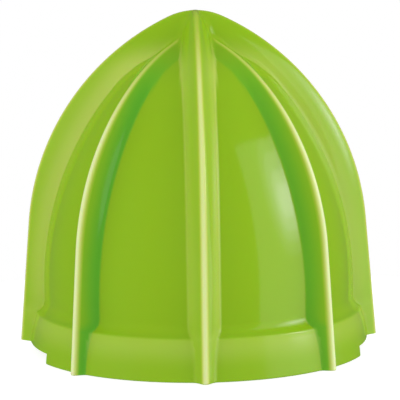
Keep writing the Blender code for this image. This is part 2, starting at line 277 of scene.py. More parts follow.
@dataclass(frozen=True)
class Rib:
    """A rib's section: two bulging flanks that meet in a round nose and reach a set width at the root.

    Fillets run along the roots, and the rib goes on below them for the width of its foot. A painted highlight
    goes along a narrow line on the nose.
    """

    nose_radius: float
    root_half_width: float
    fillet: float = 0.0004
    # half-width of the painted highlight along the nose; the mesh's columns also stop at its edges
    line: float = 0.00055
    flank_radius: float = 0.0186
    foot: float = 0.002

    def distance(self, depth: Numbers, aside: Numbers, root_depth: Numbers) -> Numbers:
        """Signed distance to the rib's skin, negative inside.

        Args:
            depth: Depths below the crest.
            aside: Distances from the rib's middle plane.
            root_depth: Depths at which the flanks meet the wall between the ribs.

        Returns:
            The distances.
        """
        taken_off = (1 - math.sqrt(0.5)) * self.nose_radius
        nose_reach = self.flank_radius - taken_off
        chord = np.hypot(root_depth, self.root_half_width)
        along = (nose_reach**2 - self.flank_radius**2 + chord**2) / (2 * chord)
        off = np.sqrt(nose_reach**2 - along**2)
        centre_depth = (along * root_depth + off * self.root_half_width) / chord
        centre_aside = (along * self.root_half_width - off * root_depth) / chord
        near = np.hypot(depth - centre_depth, aside - centre_aside) - self.flank_radius
        far = np.hypot(depth - centre_depth, aside + centre_aside) - self.flank_radius
        skin = round_cut(near, far, self.nose_radius)
        return np.maximum(skin, aside - self.root_half_width - self.foot)


@dataclass(frozen=True)
class RibbedForm:
    """The outer form of a pressing cone: a round body with four main ribs and four minor ones.

    Near the tip the fillets beside the ribs grow to the tip fillet, from a share of the panels' height upwards.
    """

    main_crest: Ogive
    minor_crest: Ogive
    panel: Ogive
    skirt: Skirt
    main_rib: Rib
    minor_rib: Rib
    tip_fillet: float
    rim_round: float
    tip_fillet_from: float = 0.8

    def body(self, radius: Numbers, height: Numbers) -> Numbers:
        """Signed distance to the body between the ribs.

        Args:
            radius: Distances from the axis.
            height: Heights above the rim.

        Returns:
            The distances, negative inside.
        """
        stand_off = self.skirt.stand_off(height)
        slope = (self.skirt.stand_off(height + SLOPE_STEP) - stand_off) / SLOPE_STEP
        wall = (radius - self.panel.line_radius(height) - stand_off) / np.sqrt(1 + slope**2)
        return np.where(height < self.skirt.top, wall, -self.panel.locate(radius, height)[0])

    def root_depths(self, crest: Ogive, rib: Rib) -> Pair:
        """How deep below a crest its flanks meet the wall between the ribs.

        Args:
            crest: The crest's outline.
            rib: The rib's section.

        Returns:
            Heights along the crest, and the depth at each.
        """
        heights = np.linspace(0.0, crest.top, ROOT_STATIONS)
        low = np.zeros_like(heights)
        high = np.full_like(heights, 2 * (crest.foot_radius - self.panel.foot_radius))
        radius, lean = crest.at_heights(heights)
        for _ in range(HALVINGS_TO_ROOT):
            middle = (low + high) / 2
            reach = np.hypot(np.maximum(radius - middle * np.cos(lean), 0.0), rib.root_half_width)
            outside = self.panel.locate(reach, heights - middle * np.sin(lean))[0] < 0
            low = np.where(outside, middle, low)
            high = np.where(outside, high, middle)
        return heights, low

    def rib_distance(self, crest: Ogive, rib: Rib, at: Numbers, aside: Numbers, height: Numbers) -> Numbers:
        """Signed distance to one rib and the one opposite.

        Args:
            crest: The crest's outline.
            rib: The rib's section.
            at: Distances from the axis along the rib's middle plane.
            aside: Distances from that plane.
            height: Heights.

        Returns:
            The distances.
        """
        depth, up_crest = crest.locate(np.abs(at), height)
        root_depth = np.interp(up_crest, *self.root_depths(crest, rib))
        return rib.distance(depth, np.abs(aside), root_depth)

    def distance(self, radius: Numbers, azimuth: Numbers, height: Numbers, inset: float = 0.0) -> Numbers:
        """Signed distance to the form's skin, negative inside.

        Args:
            radius: Distances from the axis.
            azimuth: Angles from a main rib's plane.
            height: Heights above the rim.
            inset: How far the skin is moved in, as for a hollow under a wall.

        Returns:
            The distances.
        """
        folded = fold(azimuth)
        x, y = radius * np.cos(folded), radius * np.sin(folded)
        near, far = (x + y) / math.sqrt(2), (x - y) / math.sqrt(2)
        towards_tip = smooth_step(height, self.tip_fillet_from * self.panel.top, self.main_crest.top)
        joined = self.body(radius, height) + inset
        for crest, rib, at, aside in (
            (self.main_crest, self.main_rib, x, y),
            (self.main_crest, self.main_rib, y, x),
            (self.minor_crest, self.minor_rib, near, far),
            (self.minor_crest, self.minor_rib, far, near),
        ):
            ribs = self.rib_distance(crest, rib, at, aside, height) + inset
            fillet = rib.fillet + (self.tip_fillet - rib.fillet) * towards_tip
            joined = round_union(joined, ribs, np.minimum(fillet, radius / 2))
        if inset > 0.0:
            return joined
        return round_cut(joined, -height, self.rim_round)


# Meshes


def deselect() -> None:
    """Leave nothing selected, in object mode."""
    bpy.ops.object.select_all(action="DESELECT")


def activate(piece: Piece) -> None:
    """Make one piece the active and only selected one.

    Args:
        piece: The piece.
    """
    deselect()
    piece.select_set(True)
    bpy.context.view_layer.objects.active = piece


def added(name: str) -> Piece:
    """Name the piece that was just added and its mesh, and return it."""
    bpy.context.object.name = bpy.context.object.data.name = name
    return bpy.context.object


def settle(piece: Piece) -> None:
    """Put a piece's place, turn and scale into its mesh."""
    activate(piece)
    bpy.ops.object.transform_apply(location=True, rotation=True, scale=True)


def join_solids(piece: Piece, way: Way, tools: list[Piece]) -> None:
    """Add solids to a piece or cut them out of it, and delete them.

    Args:
        piece: The piece that is changed.
        way: Whether the solids are added or cut away.
        tools: The solids, one after the other.
    """
    for tool in tools:
        activate(piece)
        step = piece.modifiers.new(tool.name, "BOOLEAN")
        step.operation = way.value
        step.solver = "MANIFOLD"
        step.object = tool
        bpy.ops.object.modifier_apply(modifier=step.name)
        bpy.data.objects.remove(tool)


def wrap_grid(name: str, points: Numbers) -> Piece:
    """Lay a grid over rows of points that run round the axis, and close its seam and both ends.

    Args:
        name: The piece's name.
        points: An array of rows, columns and places, whose last column repeats the first.

    Returns:
        The closed shell, its faces pointing outwards.
    """
    rows, columns = points.shape[:2]
    deselect()
    bpy.ops.mesh.primitive_grid_add(x_subdivisions=columns - 1, y_subdivisions=rows - 1, size=1)
    shell = added(name)
    shell.data.vertices.foreach_set("co", points.reshape(-1).astype(np.float32))
    bpy.ops.object.mode_set(mode="EDIT")
    bpy.ops.mesh.select_all(action="SELECT")
    bpy.ops.mesh.remove_doubles(threshold=WELD)
    bpy.ops.mesh.normals_make_consistent(inside=False)
    bpy.ops.object.mode_set(mode="OBJECT")
    return shell


def plate(name: str, size: Triple, centre: Triple, turn: float) -> Piece:
    """Add a block, turned about the Z axis of the model.

    Args:
        name: The block's name.
        size: Its length, width and height.
        centre: Its centre before the turn.
        turn: The turn in radians.

    Returns:
        The block, its place in its mesh.
    """
    deselect()
    spin = Matrix.Rotation(turn, 3, "Z")
    bpy.ops.mesh.primitive_cube_add(size=1, location=spin @ Vector(centre), rotation=(0, 0, turn), scale=size)
    block = added(name)
    settle(block)
    return block


def bar(name: str, radius: float, sides: int, bottom: float, top: float, turn: float = 0.0) -> Piece:
    """Add an upright round or many-sided bar on the Z axis.

    Args:
        name: The bar's name.
        radius: Its radius, to its corners.
        sides: How many sides it has.
        bottom: Height of its lower end.
        top: Height of its upper end.
        turn: Its turn about the axis.

    Returns:
        The bar, its place in its mesh.
    """
    deselect()
    middle = (0, 0, (bottom + top) / 2)
    bpy.ops.mesh.primitive_cylinder_add(
        vertices=sides, radius=radius, depth=top - bottom, location=middle, rotation=(0, 0, turn)
    )
    rod = added(name)
    settle(rod)
    return rod


def hex_bar(name: str, flats: float, bottom: float, top: float, turn: float) -> Piece:
    """Add an upright hexagonal bar on the Z axis, as wide as given across its flats."""
    return bar(name, flats / 2 / math.cos(math.pi / 6), 6, bottom, top, turn)


def solve_rays(
    form: RibbedForm, origins: Numbers, lifts: Numbers, azimuths: Numbers, reach: float, inset: float
) -> Pair:
    """Find where rays from the axis leave a form.

    Args:
        form: The ribbed form.
        origins: Heights on the axis where the rays start, one to a row.
        lifts: Angles of the rays above the level, one to a row.
        azimuths: Angles about the axis, rows by columns.
        reach: A length that is outside the form.
        inset: How far inside the form's skin the wanted points lie.

    Returns:
        Radii and heights of the points, rows by columns.
    """
    low = np.zeros_like(azimuths)
    high = np.full_like(azimuths, reach)
    for _ in range(HALVINGS_TO_SKIN):
        middle = (low + high) / 2
        radius = middle * np.cos(lifts)[:, None]
        height = origins[:, None] + middle * np.sin(lifts)[:, None]
        outside = form.distance(radius, azimuths, height, inset) > 0
        low = np.where(outside, low, middle)
        high = np.where(outside, middle, high)
    return low * np.cos(lifts)[:, None], origins[:, None] + low * np.sin(lifts)[:, None]


# The cones


@dataclass
class ConeShell:
    """A hollow cone: its outer skin, and an inner skin that follows it under an even wall.

    half_sector counts the columns between the stops of sector_angles, and stop_limits keeps those stops apart,
    in shares of half the pitch. The inner skin is cut off at inner_top.
    """

    name: str
    form: RibbedForm
    wall: float
    turn: float = 0.0
    inner_top: float = 0.08
    half_sector: tuple[int, ...] = (2, 2, 3, 4, 3, 4)
    stop_limits: tuple[float, ...] = (0.08, 0.16, 0.5, 0.8, 0.92)
    rim_rows: int = 5
    band_rows: int = 12
    shoulder_rows: int = 18
    crest_rows: int = 170
    row_gap: float = 0.0003

    def row_heights(self) -> Numbers:
        """Heights of the rows on the skirt, closest where the skin bends most.

        Returns:
            The heights, from the rim to the top of the shoulder.
        """
        skirt = self.form.skirt
        rim = np.linspace(0.0, self.form.rim_round, self.rim_rows)
        band = np.linspace(self.form.rim_round, skirt.height, self.band_rows)[1:]
        shoulder = np.linspace(skirt.height, skirt.top, self.shoulder_rows)[1:]
        return np.concatenate([rim, band, shoulder])

    def rays(self) -> Pair:
        """Where each row's rays start on the axis, and how far they rise.

        Returns:
            Heights on the axis and angles above the level, from the rim to the tip.
        """
        crest = self.form.main_crest
        level = self.row_heights()
        stations = crest.stations(self.crest_rows)
        above = stations[stations[:, 1] > level[-1] + self.row_gap]
        heights = np.concatenate([level, above[:, 1]])
        radii = np.concatenate([crest.line_radius(level), above[:, 0]])
        x, z = crest.arc_centre
        on_arc = np.arctan2(heights - z, radii - x)
        on_tip = np.arctan2(heights - crest.tip_z, radii)
        lift = np.where(on_arc < crest.turn, on_arc, on_tip)
        share = smooth_step(heights, 0.0, crest.arc_start)
        lift = np.where(heights < crest.arc_start, crest.draft * share, lift)
        lift[-1] = QUARTER_TURN
        near_axis = radii < NEAR_AXIS
        safe = np.where(near_axis, 0.0, lift)
        origins = np.where(near_axis, crest.tip_z, heights - radii * np.tan(safe))
        return origins, lift

    def eighth(self, origins: Numbers, lifts: Numbers) -> Numbers:
        """Angles of the columns from a main rib to a minor one, closest at their noses and roots.

        Args:
            origins: Heights on the axis where the rows' rays start.
            lifts: Angles of the rays above the level.

        Returns:
            Angles about the axis, rows by columns.
        """
        between = np.full((len(origins), 1), HALF_PITCH)
        wall, _ = solve_rays(self.form, origins, lifts, between, 2 * self.form.main_crest.foot_radius, 0.0)
        wall = np.maximum(wall[:, 0], NEAR_AXIS)
        near = self.sector_angles(self.form.main_rib, wall)
        far = EIGHTH_TURN - self.sector_angles(self.form.minor_rib, wall)
        return np.concatenate([near, far[:, -2::-1]], axis=1)

    def sector_angles(self, rib: Rib, wall: Numbers) -> Numbers:
        """Column angles from a rib's middle to half-way between two ribs.

        The stops between are the two edges of the rib's line, the end of its nose and the ends of its fillet.

        Args:
            rib: The rib's section.
            wall: Radius of the wall between the ribs, one to a row.

        Returns:
            The angles, rows by columns.
        """
        root = np.arctan2(rib.root_half_width, wall)
        fillet = rib.fillet / wall
        crest = wall + self.form.main_crest.foot_radius - self.form.panel.foot_radius
        nose = max(1.1 * rib.nose_radius, 2.4 * rib.line)
        ends = (0.8 * rib.line / crest, 1.6 * rib.line / crest, nose / crest)
        ends += (root - 0.7 * fillet, root + 1.3 * fillet)
        stops = [np.minimum(end, most * HALF_PITCH) for end, most in zip(ends, self.stop_limits)]
        stops = [np.zeros_like(wall), *stops, np.full_like(wall, HALF_PITCH)]
        columns = [stops[0]]
        for low, high, count in zip(stops, stops[1:], self.half_sector):
            columns += [low + (high - low) * step / count for step in range(1, count + 1)]
        return np.stack(columns, axis=1)

    def skin(self, inset: float, thin: int) -> Numbers:
        """Points of the outer or the inner skin.

        Args:
            inset: How far inside the outer skin the points lie.
            thin: Every how many rows are kept above the foot.

        Returns:
            Rows of points from the rim to the tip.
        """
        origins, lifts = self.rays()
        if thin > 1:
            kept = np.r_[0, np.arange(thin, len(origins) - 1, thin), len(origins) - 1]
            origins, lifts = origins[kept], lifts[kept]
        eighth = self.eighth(origins, lifts)
        reach = 1.2 * self.form.main_crest.foot_radius
        radius, height = solve_rays(self.form, origins, lifts, eighth, reach, inset)
        height = np.minimum(height, self.form.main_crest.top - inset)
        around = np.concatenate([eighth, QUARTER_TURN - eighth[:, -2::-1]], axis=1)[:, :-1]
        around = np.concatenate([around + QUARTER_TURN * index + self.turn for index in range(4)], axis=1)
        radius, height = (self.all_round(numbers) for numbers in (radius, height))
        around = np.concatenate([around, around[:, :1]], axis=1)
        return np.stack([radius * np.cos(around), radius * np.sin(around), height], axis=2)

    @staticmethod
    def all_round(numbers: Numbers) -> Numbers:
        """Repeat the columns of one eighth all round the axis, mirrored by turns."""
        quarter = np.concatenate([numbers, numbers[:, -2:0:-1]], axis=1)
        return np.concatenate([quarter] * 4 + [numbers[:, :1]], axis=1)

    def shell(self) -> Piece:
        """Close the outer skin, the rim and the inner skin to one shell.

        Returns:
            The shell.
        """
        outer = self.skin(0.0, thin=1)
        inner = self.skin(self.wall, thin=2)
        inner[..., 2] = np.minimum(inner[..., 2], self.inner_top)
        return wrap_grid(self.name, np.concatenate([outer[::-1], inner]))

    def webs(self, name: str, outline: Outline, thickness: float) -> list[Piece]:
        """Four upright webs in the planes of the main ribs, all of one outline."""
        turns = [self.turn + index * QUARTER_TURN for index in range(4)]
        return [slab(f"{name}_{index}", outline, thickness, turn) for index, turn in enumerate(turns)]

    def dress(self, piece: Piece, material: bpy.types.Material) -> None:
        """Mark the finished cone's ribs and give it its material."""
        RibMarks().put_on(piece, self)
        coat(piece, material)


def slab(name: str, outline: Outline, thickness: float, turn: float) -> Piece:
    """Add a flat plate that stands in a plane through the axis.

    Args:
        name: The plate's name.
        outline: Its (radius, height) corners in order.
        thickness: Its thickness.
        turn: Angle of its plane about the axis.

    Returns:
        The plate, its place in its mesh.
    """
    deselect()
    bpy.ops.mesh.primitive_circle_add(vertices=len(outline), fill_type="NGON")
    web = added(name)
    for corner, (radius, height) in zip(web.data.vertices, outline):
        corner.co = (radius, -thickness / 2, height)
    bpy.ops.object.mode_set(mode="EDIT")
    bpy.ops.mesh.select_all(action="SELECT")
    bpy.ops.mesh.extrude_region_move(TRANSFORM_OT_translate={"value": (0, thickness, 0)})
    bpy.ops.mesh.select_all(action="SELECT")
    bpy.ops.mesh.normals_make_consistent(inside=False)
    bpy.ops.object.mode_set(mode="OBJECT")
    web.matrix_world = Matrix.Rotation(turn, 4, "Z")
    settle(web)
    return web


def mark(piece: Piece, name: str, values: Numbers) -> None:
    """Keep a number for each vertex as an attribute that a material can read."""
    attribute = piece.data.attributes.new(name, "FLOAT", "POINT")
    attribute.data.foreach_set("value", values.astype(np.float32))


def corners_of(piece: Piece) -> Numbers:
    """Places of a piece's vertices as rows."""
    return np.array([corner.co[:] for corner in piece.data.vertices])


def smooth_by_angle(piece: Piece, degrees: float) -> None:
    """Shade a piece smooth but for edges sharper than an angle."""
    activate(piece)
    bpy.ops.object.shade_smooth_by_angle(angle=math.radians(degrees))


DRAFT = math.radians(4.74)
FIT_GAP = 0.0003
SMALL_PANEL = Ogive(foot_radius=0.0248, draft=0.0, arc_start=0.018, top=0.0502, tip_radius=0.012)
SMALL_CREST = Ogive(foot_radius=0.0284, draft=DRAFT, arc_start=0.018, top=0.054, tip_radius=0.0085)


@dataclass
class LargeCone(ConeShell):
    """The photographed cone: the shell, four guide webs inside it and two finger notches in its rim."""

    web_thickness: float = 0.002
    web_bottom: float = 0.0073
    web_root: float = 0.0015
    web_core: float = 0.001
    slot_half_width: float = 0.0037
    notch_width: float = 0.0322
    notch_turn: float = math.radians(1.9)
    notch_height: float = 0.0025
    notch_inner: float = 0.0305

    def web_outline(self) -> Outline:
        """Lay a guide web out between the small cone's skin and the large cone's wall.

        Returns:
            The web's (radius, height) corners in order.
        """
        panel = SMALL_PANEL.stations(FIT_STATIONS, -FIT_GAP)
        crest = SMALL_CREST.stations(FIT_STATIONS, -FIT_GAP)
        ledge_radius = self.slot_half_width / math.sin(HALF_PITCH)
        ledge = float(np.interp(-ledge_radius, -panel[:, 0], panel[:, 1]))
        foot = float(np.interp(self.web_bottom, panel[:, 1], panel[:, 0]))
        side = panel[(panel[:, 1] > self.web_bottom) & (panel[:, 1] < ledge)]
        over = crest[crest[:, 1] > ledge]
        wall = self.form.main_crest.stations(WALL_STATIONS, self.web_root)
        wall = wall[wall[:, 1] > self.web_bottom]
        rim = float(np.interp(self.web_bottom, wall[:, 1], wall[:, 0]))
        inner = [(foot, self.web_bottom), *map(tuple, side), (ledge_radius, ledge), *map(tuple, over[:-1])]
        inner.append((-self.web_core, float(over[-1, 1])))
        outer = [(-self.web_core, float(wall[-1, 1])), *map(tuple, wall[-2::-1]), (rim, self.web_bottom)]
        return inner + outer

    def build(self) -> Piece:
        """Build the cone from its shell, webs and notches.

        Returns:
            The cone.
        """
        cone = self.shell()
        join_solids(cone, Way.ADD, self.webs("guide_web", self.web_outline(), self.web_thickness))
        length = self.form.main_crest.foot_radius - self.notch_inner + OVERSHOOT
        size = (length, self.notch_width, 2 * self.notch_height)
        centre = (self.notch_inner + length / 2, 0.0, 0.0)
        notches = [plate(f"notch_{index}", size, centre, self.notch_turn + index * math.pi) for index in (0, 1)]
        join_solids(cone, Way.CUT, notches)
        smooth_by_angle(cone, CREASE)
        return cone


@dataclass
class SmallCone(ConeShell):
    """The inner cone: the shell with a hub for the bush and four webs that hold the hub."""

    web_thickness: float = 0.0016
    web_root: float = 0.0009
    web_core: float = 0.001
    hub_radius: float = 0.009175
    hub_bottom: float = 0.0033
    hub_top: float = 0.0448
    pocket_flats: float = 0.0126
    pocket_top: float = 0.0236
    bore_radius: float = 0.0042
    bore_top: float = 0.036
    bore_sides: int = 48

    def web_outline(self) -> Outline:
        """Lay a web out between the hub and the wall.

        Returns:
            The web's (radius, height) corners in order.
        """
        wall = self.form.panel.stations(WALL_STATIONS, self.web_root)
        wall = wall[(wall[:, 1] > self.hub_bottom) & (wall[:, 1] < self.hub_top)]
        rim = float(wall[0, 0])
        inner = self.hub_radius - self.web_core
        return [(inner, self.hub_bottom), (rim, self.hub_bottom), *map(tuple, wall[1:]), (inner, self.hub_top)]

    def build(self) -> Piece:
        """Build the cone from its shell, hub, webs and bores.

        Returns:
            The cone.
        """
        cone = self.shell()
        hub = bar("hub", self.hub_radius, ROUND_SIDES, self.hub_bottom, self.hub_top)
        join_solids(cone, Way.ADD, [hub, *self.webs("hub_web", self.web_outline(), self.web_thickness)])
        pocket = hex_bar("pocket", self.pocket_flats, -OVERSHOOT, self.pocket_top, self.turn)
        bore = bar("bore", self.bore_radius, self.bore_sides, 0.0, self.bore_top)
        join_solids(cone, Way.CUT, [pocket, bore])
        smooth_by_angle(cone, CREASE)
        return cone


@dataclass
class DriveBush:
    """The hexagonal insert with the spindle's socket, flanged at its lower end."""

    across_flats: float = 0.012
    socket_flats: float = 0.008
    flange_radius: float = 0.00818
    bottom: float = 0.0015
    flange_top: float = 0.003
    top: float = 0.0233
    edge: float = 0.0003
    edge_steps: int = 3
    crease: float = 35.0
    turn: float = HALF_PITCH

    def build(self) -> Piece:
        """Build the bush with softened edges.

        Returns:
            The bush.
        """
        bush = hex_bar("drive_bush_moulding", self.across_flats, self.bottom, self.top, self.turn)
        flange = bar("bush_flange", self.flange_radius, ROUND_SIDES, self.bottom, self.flange_top)
        join_solids(bush, Way.ADD, [flange])
        low, high = self.bottom - OVERSHOOT, self.top + OVERSHOOT
        socket = hex_bar("socket", self.socket_flats, low, high, self.turn)
        join_solids(bush, Way.CUT, [socket])
        activate(bush)
        step = bush.modifiers.new("edge", "BEVEL")
        step.width = self.edge
        step.segments = self.edge_steps
        step.limit_method = "ANGLE"
        step.angle_limit = math.radians(CREASE)
        bpy.ops.object.modifier_apply(modifier=step.name)
        smooth_by_angle(bush, self.crease)
        return bush

    def dress(self, piece: Piece, material: bpy.types.Material) -> None:
        """Give the finished bush its material."""
        coat(piece, material)


# Materials


@dataclass(frozen=True)
class Wire:
    """A number that comes out of a node, with Python's own arithmetic."""

    nodes: "Nodes"
    socket: bpy.types.NodeSocket

    def _maths(self, operation: str, first: "Wire | float", second: "Wire | float") -> "Wire":
        """Add a Math node."""
        return self.nodes.add("ShaderNodeMath", {"operation": operation}, {0: first, 1: second})

    def __add__(self, other: "Wire | float") -> "Wire":
        """Sum."""
        return self._maths("ADD", self, other)

    def __radd__(self, other: float) -> "Wire":
        """Sum, from the right."""
        return self._maths("ADD", other, self)

    def __sub__(self, other: "Wire | float") -> "Wire":
        """Difference."""
        return self._maths("SUBTRACT", self, other)

    def __rsub__(self, other: float) -> "Wire":
        """Difference, from the right."""
        return self._maths("SUBTRACT", other, self)

    def __mul__(self, other: "Wire | float") -> "Wire":
        """Product."""
        return self._maths("MULTIPLY", self, other)

    def __rmul__(self, other: float) -> "Wire":
        """Product, from the right."""
        return self._maths("MULTIPLY", other, self)


class Nodes:
    """A node tree that is filled through one method."""

    def __init__(self, tree: bpy.types.NodeTree) -> None:
        """Empty the tree and keep it."""
        tree.nodes.clear()
        self.tree = tree

    def add(
        self, kind: str, settings: dict | None = None, sockets: dict | None = None, out: str | int = 0
    ) -> Wire | None:
        """Add a node of any type.

        Args:
            kind: The node's type.
            settings: Its properties, which are set first.
            sockets: Values or wires for its inputs, by name or number.
            out: The output that is wanted.

        Returns:
            That output, or nothing from a node that has none.
        """
        node = self.tree.nodes.new(kind)
        for key, value in (settings or {}).items():
            setattr(node, key, value)
        for key, value in (sockets or {}).items():
            if isinstance(value, Wire):
                self.tree.links.new(value.socket, node.inputs[key])
            else:
                node.inputs[key].default_value = value
        return Wire(self, node.outputs[out]) if node.outputs else None


class Recipe(Nodes):
    """The nodes of one material."""

    def __init__(self, name: str) -> None:
        """Start an empty material.

        Args:
            name: The material's name.
        """
        self.material = bpy.data.materials.new(name)
        self.material.use_nodes = True
        super().__init__(self.material.node_tree)

    def place(self) -> Wire:
        """Object coordinates."""
        return self.add("ShaderNodeTexCoord", out="Object")

    def noise(self, scale: float, detail: float = 2.0) -> Wire:
        """Noise from 0 to 1 on Object coordinates, with so many waves to a metre and finer ones on top."""
        return self.add("ShaderNodeTexNoise", None, {"Vector": self.place(), "Scale": scale, "Detail": detail})

    def marked(self, name: str) -> Wire:
        """A number that the mesh carries."""
        return self.add("ShaderNodeAttribute", {"attribute_name": name}, out="Fac")

    def blend(self, share: Wire | float, first: Wire | tuple, second: Wire | tuple) -> Wire:
        """Mix two colours."""
        sockets = {0: share, 6: first, 7: second}
        return self.add("ShaderNodeMix", {"data_type": "RGBA"}, sockets, out=2)

    def output(self, surface: Wire) -> bpy.types.Material:
        """Connect the surface and return the material."""
        self.add("ShaderNodeOutputMaterial", None, {"Surface": surface})
        return self.material


@dataclass(frozen=True)
class MouldedPlastic:
    """Moulded plastic: an even colour with faint flow, a very slightly wavy skin, and marked painted light and
    shade.
    """

    name: str
    colour: Triple
    # the flow's darker tone, also mixed in as painted shade at the minor ribs' roots
    flow_and_painted_shade_colour: Triple
    roughness: float
    waviness: float
    glow: float
    # Painted light: the pale tone of the painted glow on the main ribs' flanks and of the painted skirt-edge
    # highlight, then the crests' painted halo and highlight, then how strong the flanks' painted glow is.
    painted_light_colour: Triple = (0.67, 0.74, 0.18)
    painted_halo_colour: Triple = (0.52, 0.57, 0.05)
    painted_crest_highlight_colour: Triple = (0.72, 0.80, 0.40)
    painted_light_strength: float = 0.45
    marks: bool = True
    flow_scale: float = 55.0
    flow_shade: float = 0.10
    flow_gloss: float = 0.04
    grain_scale: float = 900.0
    grain_detail: float = 3.0
    grain_height: float = 0.05
    bump_height: float = 0.0004
    satin: float = 0.12
    refraction: float = 1.5
    glow_colour: Triple = (0.3, 1.0, 0.05)
    glow_reach: float = 0.004

    def material(self) -> bpy.types.Material:
        """Build the finish.

        Returns:
            The material.
        """
        recipe = Recipe(self.name)
        flow = recipe.noise(self.flow_scale)
        grain = recipe.noise(self.grain_scale, self.grain_detail)
        colour = recipe.blend(self.flow_shade * flow, (*self.colour, 1.0), (*self.flow_and_painted_shade_colour, 1.0))
        roughness = self.roughness + self.flow_gloss * (flow - 0.5)
        if self.marks:
            crest = recipe.marked("crest")
            # Painted shade at the minor ribs' roots, painted light on the main ribs' flanks and the skirt edge,
            # then the crests' painted highlight with its halo.
            for share, tone in (
                (recipe.marked("deep"), self.flow_and_painted_shade_colour),
                (self.painted_light_strength * recipe.marked("painted_light"), self.painted_light_colour),
                (crest * (2.0 - crest), self.painted_halo_colour),
                (crest * crest, self.painted_crest_highlight_colour),
            ):
                colour = recipe.blend(share, colour, (*tone, 1.0))
            roughness = roughness + self.satin * recipe.marked("satin")
        height = flow + self.grain_height * grain
        wave = {"Strength": self.waviness, "Distance": self.bump_height, "Height": height}
        sockets = {
            "Base Color": colour,
            "Roughness": roughness,
            "Normal": recipe.add("ShaderNodeBump", None, wave),
            "IOR": self.refraction,
            "Subsurface Weight": self.glow,
            "Subsurface Radius": self.glow_colour,
            "Subsurface Scale": self.glow_reach,
        }
        return recipe.output(recipe.add("ShaderNodeBsdfPrincipled", None, sockets))


def coat(piece: Piece, material: bpy.types.Material) -> None:
    """Give a piece its only material."""
    piece.data.materials.clear()
    piece.data.materials.append(material)


@dataclass(frozen=True)
class Fade:
    """A strength that goes smoothly from its first value to its last, between a low and a high place."""

    low: float
    high: float
    first: float
    last: float

    def at(self, place: Numbers) -> Numbers:
        """The strengths at places."""
        return self.first + (self.last - self.first) * smooth_step(place, self.low, self.high)


